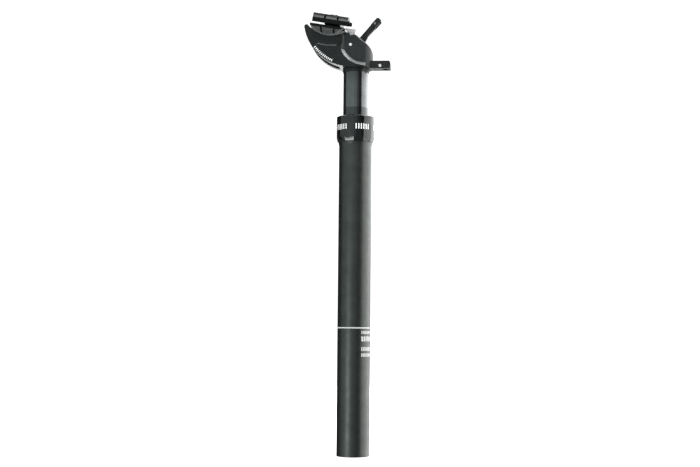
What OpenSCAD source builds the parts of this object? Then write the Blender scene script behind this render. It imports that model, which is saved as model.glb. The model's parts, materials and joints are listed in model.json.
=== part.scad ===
// Dropper seatpost with a lever under the saddle, partly lowered.
// The origin is on the post's axis at the lower end of the outer tube.
// +Z runs up the post, +X points to the front of the bicycle and lengths are in millimetres.

/* [Outer tube] */
// Outside diameter of the outer tube, the seat tube size that it fits
tube_od = 27.2; // [26.6:0.2:29.8]
// Wall of the outer tube
tube_wall = 1.8; // [1.6:0.1:2.1]
// Length of the outer tube up to the collar
tube_length = 260; // [240:5:320]
// Length of the threaded neck inside the collar
neck_length = 12; // [10:0.5:13]
// How far the shoulder below the collar stands out
shoulder_step = 0.6; // [0.3:0.1:1]
// Height of the taper below the shoulder
shoulder_length = 3.3; // [2:0.1:6]

/* [Base] */
// Height of the recess below the lower circlip
base_recess = 2; // [1:0.5:6]
// Thickness of a circlip
circlip_t = 1; // [0.8:0.1:1.4]
// Depth of a circlip groove
circlip_depth = 0.6; // [0.4:0.1:0.8]
// How far a circlip stands out of its groove
circlip_show = 1.2; // [0.8:0.1:2]
// Gap between a circlip's ends
circlip_gap = 4; // [2:0.5:8]
// Height of the base plug
plug_h = 10; // [8:0.5:16]
// Thread diameter of the rod bolt
rod_bolt_d = 5; // [4:0.5:6]
// Head diameter of the rod bolt
rod_bolt_head_d = 8.5; // [7.5:0.1:10]
// Head height of the rod bolt
rod_bolt_head_h = 5; // [3:0.5:6]
// Thread length of the rod bolt inside the rod
rod_bolt_grip = 12; // [8:1:20]
// Outside diameter of the rubber bump stop
bump_od = 17; // [13:0.5:18.5]
// Height of the bump stop
bump_h = 9; // [5:0.5:14]
// Gap left above the bump stop when the post is fully down
bump_gap = 6; // [2:0.5:10]

/* [Collar] */
// Wall of the collar round the tube's neck
collar_wall = 2.15; // [1.8:0.05:3]
// Length of the collar
collar_length = 21.5; // [20.5:0.5:28]
// Height of the taper at the collar's lower end
collar_taper_h = 3.5; // [2:0.1:4.5]
// How far that taper draws in
collar_taper = 0.85; // [0.4:0.05:1.2]
// Height of the wrench flats
flat_h = 4.8; // [4.6:0.1:8]
// Depth of the wrench flats
flat_depth = 0.55; // [0.5:0.05:0.8]
// Thickness of the O-ring between tube and collar
o_ring_d = 1; // [0.8:0.1:1.4]
// Thickness of the bushing's flange
flange_t = 2; // [1:0.1:2.5]
// Length of the upper bushing inside the tube
bushing_length = 36; // [24:1:50]
// Height of the inner seal
seal_h = 3.5; // [2.5:0.1:4.5]
// Width and depth of the groove on each face of the inner seal
seal_groove = 0.9; // [0.6:0.1:1.1]
// Wall of the collar round the wiper seal
wiper_wall = 2.95; // [2.5:0.05:3.4]
// How far the wiper's lip stands above the collar
wiper_lip = 1; // [0.5:0.1:2]

/* [Inner post] */
// Outside diameter of the inner post
post_od = 21; // [20.4:0.1:21.6]
// Wall of the inner post
post_wall = 1.8; // [1.5:0.1:2.1]
// Travel down from the position shown
travel_down = 34; // [20:1:50]
// Travel up from the position shown
travel_up = 66; // [40:1:75]
// Gap between head and collar when the post is fully down
closed_gap = 3.5; // [2:0.5:8]
// Number of brass keys
key_count = 3; // [2:1:4]
// Width of a key
key_width = 3; // [2:0.1:4]
// Length of a key
key_length = 12; // [8:0.5:16]
// Depth of a key's pocket in the post
key_pocket = 0.6; // [0.4:0.1:0.9]
// Depth of a keyway in the tube
keyway_depth = 0.8; // [0.5:0.1:1]
// Space at each end of a keyway
keyway_end = 3; // [1:0.5:8]
// Height of the keys above the post's lower end
key_up = 6; // [4:0.5:10]
// Length of the lower guide bush
guide_length = 14; // [10:1:24]
// Space between the keys and the guide bush
guide_gap = 4; // [2:0.5:8]
// Depth of the guide bush's seat in the post
guide_seat = 0.5; // [0.3:0.1:0.7]

/* [Cartridge] */
// Wall of the cartridge cylinder
cylinder_wall = 1.2; // [0.8:0.1:1.6]
// Length of the cartridge cylinder
cylinder_length = 228; // [215:1:238]
// Height of the end nut in the post's lower end
end_nut_h = 10; // [6:0.5:14]
// Diameter of the piston rod
rod_d = 8; // [7.6:0.1:9]
// Height of the rod guide
rod_guide_h = 10; // [6:0.5:14]
// Height of the rod seal
rod_seal_h = 4; // [3:0.5:6]
// Height left between seal and piston when fully up
top_out = 6; // [2:0.5:12]
// Height of the piston
piston_h = 8; // [6:0.5:12]
// Diameter of the rod's stud through the piston
stud_d = 5; // [4:0.5:6]
// Height of the piston ring
ring_h = 3; // [2:0.5:4]
// Depth of the piston ring's groove
ring_depth = 1; // [0.6:0.1:1.4]
// Height of the piston nut
piston_nut_h = 4; // [3:0.5:6]
// Width across flats of the piston nut
piston_nut_af = 8; // [7.5:0.5:10]
// Depth of the valve body inside the cylinder
valve_depth = 8; // [6:0.5:14]
// Thickness of the valve body's flange
valve_flange = 5; // [3:0.5:8]
// Thickness of the valve body's O-ring
valve_ring_d = 1.2; // [1:0.1:1.6]
// Diameter of the valve pin
pin_d = 3; // [2.4:0.1:3.2]
// Diameter of the valve pin's foot inside the cylinder
foot_d = 5; // [4:0.1:7]
// Height of the valve pin's foot
foot_h = 2; // [1:0.5:4]
// Wall of the spacer above the valve
spacer_wall = 1.5; // [1:0.1:2.5]

/* [Head] */
// Depth of the post's socket in the head
socket_depth = 14; // [10:0.5:16]
// Wall of the lip round the post below the head
lip_wall = 0.6; // [0.4:0.1:1.5]
// Height of that lip
lip_h = 3; // [1:0.5:5]
// Radius of the head's round front
front_r = 14.3; // [13.6:0.1:15]
// Width of the head at the cradle
head_w = 29; // [26:0.5:32]
// Width of the lever housing between its flat sides
panel_w = 22.6; // [19:0.2:24]
// Radius of the saddle clamp's cradle
cradle_r = 25.6; // [24.8:0.1:26.2]
// Distance of the cradle's centre behind the post's axis
cradle_back = 19.6; // [18:0.1:22]
// Height of the cradle's centre above the head's lower end
cradle_up = 54.9; // [53:0.1:57]
// Height of the cradle's front end below its centre
tooth_drop = 22.5; // [20:0.1:23]
// Place of the cradle's front end behind the post's axis
tooth_back = 4.9; // [3:0.1:7]
// Radius of the crescent's lower edge
crescent_r = 40; // [39:0.5:42]
// Distance of the crescent's centre behind the post's axis
crescent_back = 3.1; // [1:0.1:5]
// Radius of the crescent's horn
horn_r = 1.9; // [1.5:0.1:2.4]
// Width of the recessed rim along the cradle
rim_w = 7.7; // [5:0.1:9]
// Depth of that rim on each side of the head
rim_depth = 1; // [0.5:0.1:1.5]
// Place of the rim's rear corner behind the cradle's centre
rim_back = 10.9; // [9:0.1:13]
// Radius of the step round the lever housing
step_r = 19; // [17:0.5:21]
// Place of the step's centre in front of the post's axis
step_front = 7.5; // [6:0.5:10]
// Height of the step's centre above the head's lower end
step_up = 25; // [23:0.5:27]
// Place of the step's upright part behind the post's axis
step_back = 10.1; // [8:0.1:10.6]
// Radius of the lever housing's crown
crown_r = 5.1; // [4:0.1:6]
// Place of the crown's centre behind the post's axis
crown_back = 1.1; // [0:0.1:2]
// Height of the crown's centre above the head's lower end
crown_up = 25.5; // [24:0.1:27]
// Radius of the lever housing's brow above its front
brow_r = 10.3; // [9:0.1:12]
// Height of the brow's centre above the head's lower end
brow_up = 14; // [12:0.5:16]

/* [Cable stop] */
// Reach of the cable-stop arm from the post's axis
arm_reach = 29; // [28.4:0.2:36]
// Width of the arm
arm_w = 12; // [10:0.5:14]
// Height of the arm
arm_h = 6.4; // [5.6:0.1:8]
// Round on the arm's upper front edge
arm_round = 1.5; // [0.5:0.1:2.5]
// Diameter of the cable housing that it takes
housing_d = 5.2; // [4:0.1:5.6]
// Place of the housing's bore in front of the post's axis
housing_front = 24.9; // [24:0.1:25.4]
// Depth of the housing's bore
housing_depth = 4; // [3:0.1:4.6]
// Width of the slit that the cable is slipped through
cable_slit = 1.8; // [1.2:0.1:2.4]
// Place of the small screw in front of the post's axis
stop_screw_front = 20.5; // [19:0.1:20.5]
// Diameter of that screw
stop_screw_d = 2.4; // [2:0.1:2.8]
// Height of that screw above the arm's underside
stop_screw_up = 2.3; // [1.8:0.1:3.4]
// Length of that screw
stop_screw_length = 9; // [5:0.5:9.5]

/* [Lever] */
// Place of the lever's pivot behind the post's axis
pivot_back = 3.9; // [3.4:0.1:4.4]
// Height of the pivot above the head's lower end
pivot_up = 22.2; // [21.8:0.1:23]
// Diameter of the pivot pin
pivot_d = 3; // [2.6:0.1:3.2]
// Wall of a lever bush
lever_bush_wall = 0.6; // [0.4:0.1:0.7]
// Wall of the lever's hub round its bushes
hub_wall = 0.85; // [0.6:0.05:0.95]
// Width of the lever's arm
lever_w = 4.5; // [4:0.5:8]
// Thickness of the lever's arm
lever_t = 2.9; // [2.4:0.1:3.6]
// Angle of the lever's arm above level
lever_angle = 47.6; // [44:0.1:52]
// Distance of the arm's middle line below the pivot
lever_offset = 1.55; // [1:0.05:2.2]
// Length of the lever from its pivot to its tip
lever_length = 33.2; // [30:0.2:38]
// Length of the lever's deep root from its pivot
root_length = 16; // [12:0.5:20]
// Depth of that root below the pivot
root_depth = 5; // [4:0.1:6]
// Width of the fork at the lever's tip
fork_w = 8; // [7:0.5:14]
// Length of the fork
fork_length = 8.7; // [8:0.1:12]
// Slot between the fork's tines
fork_slot = 4; // [3:0.5:6]
// Diameter of the cable anchor
anchor_d = 1.8; // [1.4:0.1:2]
// Distance of the anchor from the lever's tip
anchor_in = 5.6; // [4:0.1:6]
// Diameter of the cable
cable_d = 1; // [0.8:0.1:1.1]
// Radius of the nose that pushes the valve pin
nose_r = 1.7; // [1.4:0.1:2]
// Depth of the nose below the pivot
nose_drop = 0.6; // [0.4:0.1:0.9]
// Gap between nose and valve pin at rest
nose_gap = 0.3; // [0.2:0.05:0.4]

/* [Saddle clamp] */
// Diameter of the saddle's rails
rail_d = 7; // [6.8:0.1:8]
// Spacing of the rails
rail_spacing = 44; // [42:0.5:46]
// Height of the rails below the cradle's centre
rail_drop = 18.6; // [18.2:0.05:19]
// Gap between the two clamp jaws beside a rail
jaw_gap = 1.6; // [1.2:0.1:2.4]
// How far that gap lies below the rails' centres
jaw_drop = 0.45; // [0.2:0.05:0.7]
// Tilt of the clamp, nose down
clamp_tilt = 9.5; // [6:0.5:12]
// Clamp tilt that is free, nose up from there
tilt_up = 6; // [3:0.5:8]
// Clamp tilt that is free, nose down from there
tilt_down = 8; // [4:0.5:10]
// Width of the lower clamp across its lips
lower_w = 54; // [52.5:0.5:58]
// Height of the lower clamp's lip
lower_lip = 2.4; // [2:0.1:3]
// Place of the lower clamp's rear end behind the cradle's centre
lower_back = 13.5; // [12:0.1:15]
// Width of the decorative grooves on the clamps' outer faces
trim_w = 1.6; // [1:0.1:2.2]
// Depth of these grooves
trim_depth = 0.8; // [0.5:0.1:1]
// Spacing of these grooves
trim_spacing = 10.8; // [9:0.2:14]
// Distance of the lower clamp's grooves in front of the cradle's centre
trim_front = 1.3; // [0:0.1:2]
// Width of the upper clamp across its lips
upper_w = 56; // [53:0.5:60]
// Length of the upper clamp along the rails
upper_length = 30.8; // [28:0.2:36]
// Distance of the upper clamp's middle in front of the bolt
upper_front = 0.4; // [0:0.1:3]
// How far the upper clamp's front edge bows out in the middle
upper_bow = 1.8; // [1:0.1:4]
// Thickness of the upper clamp at its lips
upper_t = 7.6; // [7:0.1:9]
// Height of the upper clamp's underside between the rails above its lips
upper_rise = 2.6; // [2.2:0.1:3.4]
// Width of each of the upper clamp's two ears over the rails
ear_w = 11.5; // [11:0.5:13.5]
// Height of an ear's lip beside the rail
ear_lip_h = 3.2; // [2.6:0.1:3.8]
// How far that lip stands out below the ear's side panel
ear_lip = 0.8; // [0.5:0.1:1.2]
// Height of the slope above the lip
ear_ledge = 0.5; // [0.3:0.1:0.8]
// How far the side panel leans in from there to its top
ear_lean = 0.7; // [0.3:0.1:1]
// How far a nib of the lip reaches out in front of the panel
nib_reach = 2.6; // [1:0.1:3]
// Width of that nib
nib_w = 2.2; // [1.5:0.1:2.3]
// How far the nib's faces lie inside the lip's
nib_inset = 0.2; // [0.1:0.1:0.4]
// Chamfer on the upper clamp's edges
upper_chamfer = 0.8; // [0.4:0.1:1.6]
// Width of the upper clamp's raised middle at its top
saddle_w = 16; // [14:0.5:20]
// Height of that middle above the lips
saddle_h = 1.3; // [0.5:0.1:3]
// Width and length of the boss between the rails
boss_w = 13.6; // [11:0.2:18]
// Gap between the two clamps at that boss
boss_gap = 0.8; // [0.5:0.1:1.5]

/* [Clamp bolt] */
// Thread diameter of the clamp bolt
bolt_d = 6; // [5:0.5:6.5]
// Distance of the bolt in front of the cradle's centre
bolt_front = 2.9; // [0:0.1:3.5]
// Head diameter of the clamp bolt
bolt_head_d = 10; // [9:0.1:11]
// Head height of the clamp bolt
bolt_head_h = 5; // [4:0.5:6]
// Width across flats of the bolt's socket
bolt_key = 5; // [4:0.5:6]
// Depth of the bolt's socket
bolt_key_depth = 3.5; // [2:0.5:4]
// Radius of the curved washer's seat round the cradle's centre
seat_r = 33.5; // [32.5:0.1:34.5]
// Thickness of the curved washer at its middle
washer_t = 2.5; // [2:0.1:3]
// Width of the curved washer
washer_w = 11.8; // [11.4:0.1:13]
// Outside diameter of the nut washer
nut_washer_d = 12; // [11:0.1:13.5]
// Thickness of the nut washer
nut_washer_t = 0.8; // [0.6:0.1:1.6]
// Outside diameter of the round nut
nut_d = 9; // [8.6:0.1:10.4]
// Height of the round nut
nut_h = 3.4; // [3:0.1:7]

/* [Clearances] */
// Radial clearance of a running fit
run = 0.05; // [0.02:0.01:0.1]
// Side clearance of keys and of the curved washer
side = 0.1; // [0.05:0.01:0.2]
// Clearance of a hole round a bolt
loose = 0.3; // [0.2:0.05:0.4]
// Clearance round the lever in its slot
lever_play = 0.5; // [0.3:0.1:0.8]

/* [Hidden] */
$fn = 64;
over = 1;
far = 80;
arc_steps = 14;

tube_r = tube_od/2;
tube_bore_r = tube_r - tube_wall;
post_r = post_od/2;
post_bore_r = post_r - post_wall;
collar_r = tube_r + collar_wall;
wiper_r = collar_r - wiper_wall;

// Heights of the base, from the tube's lower end
z_plug = base_recess + circlip_t;
z_plug_top = z_plug + plug_h;
z_bump_top = z_plug_top + bump_h;

// Heights of the collar and of what it holds
z_collar_top = tube_length + collar_length;
z_neck_top = tube_length + neck_length;
z_seal = z_neck_top + flange_t;
z_wiper = z_seal + seal_h;
z_o_ring = tube_length + collar_taper_h + o_ring_d;

// Heights of the inner post, its keys and its guide bush
z_head = z_collar_top + travel_down + closed_gap;
z_post = z_bump_top + bump_gap + travel_down;
z_post_top = z_head + socket_depth;
z_key = z_post + key_up;
z_guide = z_key + key_length + guide_gap;
key_r = tube_bore_r + keyway_depth - side;

// Heights and radii of the cartridge
z_cylinder = z_post + end_nut_h;
z_cylinder_top = z_cylinder + cylinder_length;
z_rod_seal = z_cylinder + rod_guide_h;
z_piston = z_rod_seal + rod_seal_h + travel_up + top_out;
z_valve_foot = z_cylinder_top - valve_depth - foot_h;
z_spacer = z_cylinder_top + valve_flange;
cylinder_r = post_bore_r - 4*run;
cylinder_bore_r = cylinder_r - cylinder_wall;
rod_r = rod_d/2;
pin_r = pin_d/2;

// Places on the head
z_base = z_head + lip_h;
cradle = [-cradle_back, z_head + cradle_up];
crescent = [-crescent_back, z_base + crescent_r];
step = [step_front, z_head + step_up];
crown = [-crown_back, z_head + crown_up];
brow = [front_r - brow_r, z_head + brow_up];
pivot = [-pivot_back, z_head + pivot_up];
arm_top = z_base + arm_h;
z_tooth = cradle[1] - tooth_drop;

// Lever hub, the floor of its slot and the top of the valve pin below its nose
bush_bore_r = pivot_d/2 + run;
bush_r = bush_bore_r + lever_bush_wall;
hub_r = bush_r + hub_wall;
hub_w = lever_w + lever_play;
lever_floor = pivot[1] - hub_r - 2*lever_play;
lever_slot = lever_w + 2*lever_play;
nose = pivot + [pivot_back, -nose_drop];
z_pin_top = nose[1] - nose_r - nose_gap;

// Heights in the tilted clamp, below the cradle's centre
lower_top = -rail_drop - jaw_drop - jaw_gap/2;
upper_under = -rail_drop - jaw_drop + jaw_gap/2;
upper_top = upper_under + upper_t;
saddle_top = upper_top + saddle_h;
washer_under = -seat_r - washer_t;
bolt_under = washer_under - bolt_head_h;
nut_under = saddle_top + nut_washer_t;
nut_top = nut_under + nut_h;

// Points of an arc from angle a to angle b round a centre
function arc(centre, r, a, b, n = arc_steps) =
    [for (i = [0:n]) let (t = a + (b - a)*i/n) centre + r*[cos(t), sin(t)]];

// Direction of one point seen from another, from 0 to 360 degrees
function bearing(from, to) = (atan2(to[1] - from[1], to[0] - from[0]) + 360) % 360;

// Point at distance ra from a and rb from b, on the left of the way from a to b
function meet(a, ra, b, rb) =
    let (
        d = norm(b - a), u = (b - a)/d,
        along = (ra*ra - rb*rb + d*d)/(2*d), aside = sqrt(ra*ra - along*along)
    )
    a + along*u + aside*[-u[1], u[0]];

// Angle of the outer tangent that two circles share on the right of the way from a to b
function tangent_angle(a, ra, b, rb) = bearing(b, a) - acos((rb - ra)/norm(a - b));

// Ring about the post's axis
module ring(outer, inner, z0, z1) {
    translate([0, 0, z0])
        difference() {
            cylinder(r = outer, h = z1 - z0);
            translate([0, 0, -over])
                cylinder(r = inner, h = z1 - z0 + 2*over);
        }
}

// O-ring about the post's axis
module o_ring(mid_r, d, z) {
    translate([0, 0, z])
        rotate_extrude()
            translate([mid_r, 0])
                circle(d = d, $fn = 32);
}

// Plate of an X and Z outline, centred on the middle plane
module plate(points, width) {
    rotate([90, 0, 0])
        linear_extrude(width, center = true)
            polygon(points);
}

// Round bar or bore across the post, centred on the middle plane
module cross(place, r, length) {
    translate([place[0], 0, place[1]])
        rotate([90, 0, 0])
            cylinder(r = r, h = length, center = true);
}

// Frame of the tilted saddle clamp, with its origin at the cradle's centre
module in_clamp() {
    translate([cradle[0], 0, cradle[1]])
        rotate([0, clamp_tilt, 0])
            children();
}

// Block of a length along X, a width along Y and a span of heights
module block(x0, x1, width, z0, z1) {
    translate([x0, -width/2, z0])
        cube([x1 - x0, width, z1 - z0]);
}

// Copies at the keys' places round the post
module at_keys() {
    for (i = [0:key_count - 1])
        rotate([0, 0, 90 + 360*i/key_count])
            children();
}

// Outer tube with its keyways, circlip grooves, shoulder and neck
module outer_tube() {
    color("#2b2e2d")
        difference() {
            rotate_extrude()
                polygon([
                    [tube_bore_r, 0], [tube_r, 0], [tube_r, tube_length - shoulder_length],
                    [tube_r + shoulder_step, tube_length], [tube_r, tube_length],
                    [tube_r, z_neck_top], [tube_bore_r, z_neck_top]
                ]);
            for (z = [base_recess, z_plug_top])
                translate([0, 0, z])
                    cylinder(r = tube_bore_r + circlip_depth, h = circlip_t);
            at_keys()
                block(0, tube_bore_r + keyway_depth, key_width + 2*side,
                    z_key - travel_down - keyway_end, z_key + key_length + travel_up + keyway_end);
        }
}

// Collar nut with a tapered lower end and twelve wrench flats
module collar() {
    flat_r = (collar_r - flat_depth)/cos(15);
    color("#1d1f20")
        difference() {
            rotate_extrude()
                polygon([
                    [tube_r, tube_length], [collar_r - collar_taper, tube_length],
                    [collar_r, tube_length + collar_taper_h], [collar_r, z_collar_top],
                    [wiper_r, z_collar_top], [wiper_r, z_wiper], [tube_r, z_wiper]
                ]);
            translate([0, 0, tube_length])
                difference() {
                    cylinder(r = collar_r + over, h = flat_h);
                    cylinder(r = flat_r, h = flat_h, $fn = 12);
                }
            ring(tube_r + o_ring_d, tube_r - over, z_o_ring - o_ring_d/2, z_o_ring + o_ring_d/2);
        }
}

module collar_o_ring() {
    color("#151515")
        o_ring(tube_r + o_ring_d/2, o_ring_d, z_o_ring);
}

// Flanged plain bushing that the inner post runs in
module upper_bushing() {
    color("#8a8f78")
        rotate_extrude()
            polygon([
                [post_r + run, z_neck_top - bushing_length], [tube_bore_r, z_neck_top - bushing_length],
                [tube_bore_r, z_neck_top], [tube_r, z_neck_top], [tube_r, z_seal], [post_r + run, z_seal]
            ]);
}

// Seal ring with a groove on each face
module inner_seal() {
    inner_r = (post_r + tube_r - seal_groove)/2;
    color("#22302c")
        difference() {
            ring(tube_r, post_r + run, z_seal, z_wiper);
            ring(inner_r + seal_groove, inner_r, z_seal - over, z_seal + seal_groove);
            ring(inner_r + seal_groove, inner_r, z_wiper - seal_groove, z_wiper + over);
        }
}

// Wiper pressed into the collar's top, with a lip that leans on the post
module wiper_seal() {
    bore_r = post_r + run;
    z_lip = z_collar_top + wiper_lip;
    color("#2a2c2e")
        rotate_extrude()
            polygon([
                [bore_r, z_wiper], [wiper_r, z_wiper], [wiper_r, z_collar_top],
                [bore_r + wiper_lip, z_collar_top], [bore_r + wiper_lip/2, z_lip], [bore_r, z_lip]
            ]);
}

// Base plug with a counterbore for the rod bolt
module base_plug() {
    color("#9ba0a3")
        difference() {
            translate([0, 0, z_plug])
                cylinder(r = tube_bore_r, h = plug_h);
            translate([0, 0, z_plug - over])
                cylinder(d = rod_bolt_d, h = plug_h + 2*over);
            translate([0, 0, z_plug - over])
                cylinder(d = rod_bolt_head_d + 2*loose, h = rod_bolt_head_h + over);
        }
}

// Two split circlips, one below and one above the base plug
module base_circlips() {
    color("#6f7376")
        for (z = [base_recess, z_plug_top])
            difference() {
                ring(tube_bore_r + circlip_depth, tube_bore_r - circlip_show, z, z + circlip_t);
                block(0, far, circlip_gap, z - over, z + circlip_t + over);
            }
}

// Socket-head bolt that holds the piston rod on the plug
module rod_bolt() {
    z_seat = z_plug + rod_bolt_head_h;
    color("#7d8286")
        difference() {
            union() {
                translate([0, 0, z_plug])
                    cylinder(d = rod_bolt_head_d, h = rod_bolt_head_h);
                translate([0, 0, z_seat])
                    cylinder(d = rod_bolt_d, h = z_plug_top - z_seat + rod_bolt_grip);
            }
            translate([0, 0, z_plug - over])
                cylinder(d = rod_bolt_d, h = rod_bolt_head_h/2 + over, $fn = 6);
        }
}

module bump_stop() {
    color("#303030")
        ring(bump_od/2, rod_r + loose, z_plug_top, z_bump_top);
}

// Piston rod, tapped below and with a stud above
module piston_rod() {
    color("#c9cdd0")
        difference() {
            union() {
                translate([0, 0, z_plug_top])
                    cylinder(r = rod_r, h = z_piston - z_plug_top);
                translate([0, 0, z_piston])
                    cylinder(d = stud_d, h = piston_h + piston_nut_h + over);
            }
            translate([0, 0, z_plug_top - over])
                cylinder(d = rod_bolt_d, h = rod_bolt_grip + over);
        }
}

module piston() {
    groove_z = z_piston + (piston_h - ring_h)/2;
    color("#b08d57")
        difference() {
            ring(cylinder_bore_r - run, stud_d/2, z_piston, z_piston + piston_h);
            ring(far, cylinder_bore_r - run - ring_depth, groove_z, groove_z + ring_h);
        }
}

module piston_ring() {
    groove_z = z_piston + (piston_h - ring_h)/2;
    color("#e8e4d8")
        ring(cylinder_bore_r - run/2, cylinder_bore_r - run - ring_depth, groove_z, groove_z + ring_h);
}

module piston_nut() {
    color("#7d8286")
        translate([0, 0, z_piston + piston_h])
            difference() {
                cylinder(d = piston_nut_af/cos(30), h = piston_nut_h, $fn = 6);
                translate([0, 0, -over])
                    cylinder(d = stud_d, h = piston_nut_h + 2*over);
            }
}

// Inner post with the key pockets and the seat of its guide bush
module stanchion() {
    color("#20262a")
        difference() {
            ring(post_r, post_bore_r, z_post, z_post_top);
            at_keys()
                block(post_r - key_pocket, far, key_width, z_key, z_key + key_length);
            ring(far, post_r - guide_seat, z_guide, z_guide + guide_length);
        }
}

module lower_guide_bush() {
    color("#8a8f78")
        ring(tube_bore_r - run, post_r - guide_seat, z_guide, z_guide + guide_length);
}

// Brass keys that stop the post turning in the tube
module anti_rotation_keys() {
    color("#c8a24a")
        at_keys()
            block(post_r - key_pocket, key_r, key_width, z_key, z_key + key_length);
}

module post_end_nut() {
    color("#9ba0a3")
        ring(post_bore_r, rod_r + 2*loose, z_post, z_cylinder);
}

module cartridge_cylinder() {
    color("#b9bdc0")
        ring(cylinder_r, cylinder_bore_r, z_cylinder, z_cylinder_top);
}

module rod_guide() {
    color("#b08d57")
        ring(cylinder_bore_r, rod_r + run, z_cylinder, z_rod_seal);
}

module rod_seal() {
    color("#22302c")
        ring(cylinder_bore_r, rod_r + run, z_rod_seal, z_rod_seal + rod_seal_h);
}

// Valve body with its flange on the cylinder and a groove for its O-ring
module valve_body() {
    groove_z = z_cylinder_top - valve_depth/2;
    color("#9ba0a3")
        difference() {
            union() {
                ring(cylinder_bore_r, pin_r + run, z_cylinder_top - valve_depth, z_cylinder_top);
                ring(cylinder_r, pin_r + run, z_cylinder_top, z_spacer);
            }
            ring(far, cylinder_bore_r - valve_ring_d, groove_z - valve_ring_d/2, groove_z + valve_ring_d/2);
        }
}

module valve_o_ring() {
    color("#151515")
        o_ring(cylinder_bore_r - valve_ring_d/2, valve_ring_d, z_cylinder_top - valve_depth/2);
}

module cartridge_spacer() {
    color("#b9bdc0")
        ring(cylinder_r, cylinder_r - spacer_wall, z_spacer, z_post_top);
}

// Pin from the lever's nose down to the valve, with a foot below the valve body
module valve_pin() {
    z_foot = z_valve_foot - loose;
    color("#c9cdd0") {
        translate([0, 0, z_foot])
            cylinder(d = foot_d, h = foot_h);
        translate([0, 0, z_foot])
            cylinder(r = pin_r, h = z_pin_top - z_foot);
    }
}

// Outline of the crescent: its lower edge, the round horn and the cradle's front end
function crescent_outline() =
    let (horn = meet(crescent, crescent_r - horn_r, cradle, cradle_r + horn_r))
    concat(
        [[0, z_base]],
        arc(crescent, crescent_r, 270, bearing(crescent, horn)),
        arc(horn, horn_r, bearing(crescent, horn), bearing(horn, cradle)),
        [[cradle[0], z_tooth], [-tooth_back, z_tooth], [0, brow[1]]]
    );

// Outline of the lever housing: crown, sloping brow and upright front
function housing_outline() =
    let (slope = tangent_angle(crown, crown_r, brow, brow_r))
    concat(
        [[front_r, z_base], [-tooth_back - crown_r, z_base]],
        arc(crown, crown_r, 150, slope),
        arc(brow, brow_r, slope, 0)
    );

// Area in front of the step, where the head is narrowed to the lever housing
function step_outline() =
    let (turn = 180 + acos((step_back + step_front)/step_r))
    concat(
        [[-step_back, far + z_head]],
        arc(step, step_r, turn, 270),
        [[far, step[1] - step_r], [far, far + z_head]]
    );

// Area of the recessed rim: a band along the cradle that opens to the horn
function rim_outline() =
    let (r = cradle_r + rim_w, front = 270 + asin((cradle_back - step_back)/r), rear = 270 - asin(rim_back/r))
    concat(
        arc(cradle, r, front, rear),
        [cradle + [-far, -far], cradle + [-far, far], [-step_back, cradle[1] + far]]
    );

// Slot that the lever swings in, with a floor that rises to the front
module lever_slot_cut() {
    back = pivot[0] - hub_r - lever_play;
    plate([
        [back, lever_floor], [pin_r + 2*lever_play, lever_floor],
        [front_r + over, lever_floor + arm_h], [front_r + over, far + z_head], [back, far + z_head]
    ], lever_slot);
}

// Point in the middle plane that the clamp holds at a tilt: x in front of the cradle's centre, z above it
function at_tilt(x, z, tilt) = cradle + [x*cos(tilt) + z*sin(tilt), z*cos(tilt) - x*sin(tilt)];

// Room that a bar of a half width round the bolt's axis sweeps as the clamp tilts
module tilt_sweep(half, width) {
    nose_up = clamp_tilt - tilt_up;
    nose_down = clamp_tilt + tilt_down;
    plate([
        at_tilt(bolt_front + half, 0, nose_up), at_tilt(bolt_front + half, -far, nose_up),
        at_tilt(bolt_front - half, -far, nose_down), at_tilt(bolt_front - half, 0, nose_down)
    ], width);
}

// Slot for the clamp bolt and the wider one below it for the curved washer
module bolt_slots() {
    tilt_sweep(bolt_d/2 + loose, bolt_d + 2*loose);
    difference() {
        tilt_sweep(washer_w/2 + side, washer_w + 2*side);
        cross(cradle, seat_r, far);
    }
}

// Cable-stop arm with its round upper edge
module cable_arm() {
    corner = [arm_reach - arm_round, arm_top - arm_round];
    upper_edge = arc(corner, arm_round, 0, 90);
    plate(concat([[0, z_base], [arm_reach, z_base]], upper_edge, [[0, arm_top]]), arm_w);
}

// Bore for the cable housing, hole for the cable and the slit to slip it in
module housing_bore() {
    translate([housing_front, 0, z_base - over])
        cylinder(d = housing_d, h = housing_depth + over);
    translate([housing_front, 0, z_base])
        cylinder(d = cable_slit, h = arm_h + over);
    block(housing_front, far, cable_slit, z_base - over, arm_top + over);
}

// Forged head: crescent with the cradle, lever housing, lip and cable-stop arm
module head() {
    color("#26292b")
        difference() {
            union() {
                intersection() {
                    union() {
                        plate(crescent_outline(), head_w);
                        plate(housing_outline(), head_w);
                    }
                    union() {
                        translate([0, 0, z_base])
                            cylinder(r = front_r, h = far);
                        block(-far, 0, head_w, z_base, z_base + far);
                    }
                }
                ring(post_r + lip_wall, post_r, z_head, z_base + over);
                cable_arm();
            }
            for (side_y = [-1, 1]) {
                translate([0, side_y*(panel_w + far)/2, 0])
                    plate(step_outline(), far);
                translate([0, side_y*((head_w + far)/2 - rim_depth), 0])
                    plate(rim_outline(), far);
            }
            cross(cradle, cradle_r, far);
            translate([0, 0, z_head - over])
                cylinder(r = post_r, h = socket_depth + over);
            translate([0, 0, z_post_top - over])
                cylinder(r = pin_r + run, h = far);
            cross(pivot, pivot_d/2, far);
            cross([stop_screw_front, z_base + stop_screw_up], stop_screw_d/2, far);
            lever_slot_cut();
            bolt_slots();
            housing_bore();
        }
}

module lever_pivot_pin() {
    color("#d5d8da")
        cross(pivot, pivot_d/2, panel_w);
}

// Slotted screw across the cable-stop arm, level with its near side
module cable_stop_screw() {
    slot_w = stop_screw_d/4;
    color("#d5d8da")
        translate([stop_screw_front, -arm_w/2, z_base + stop_screw_up])
            rotate([-90, 0, 0])
                difference() {
                    cylinder(d = stop_screw_d, h = stop_screw_length);
                    translate([-stop_screw_d, -slot_w/2, -over])
                        cube([2*stop_screw_d, slot_w, over + slot_w]);
                }
}

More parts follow.
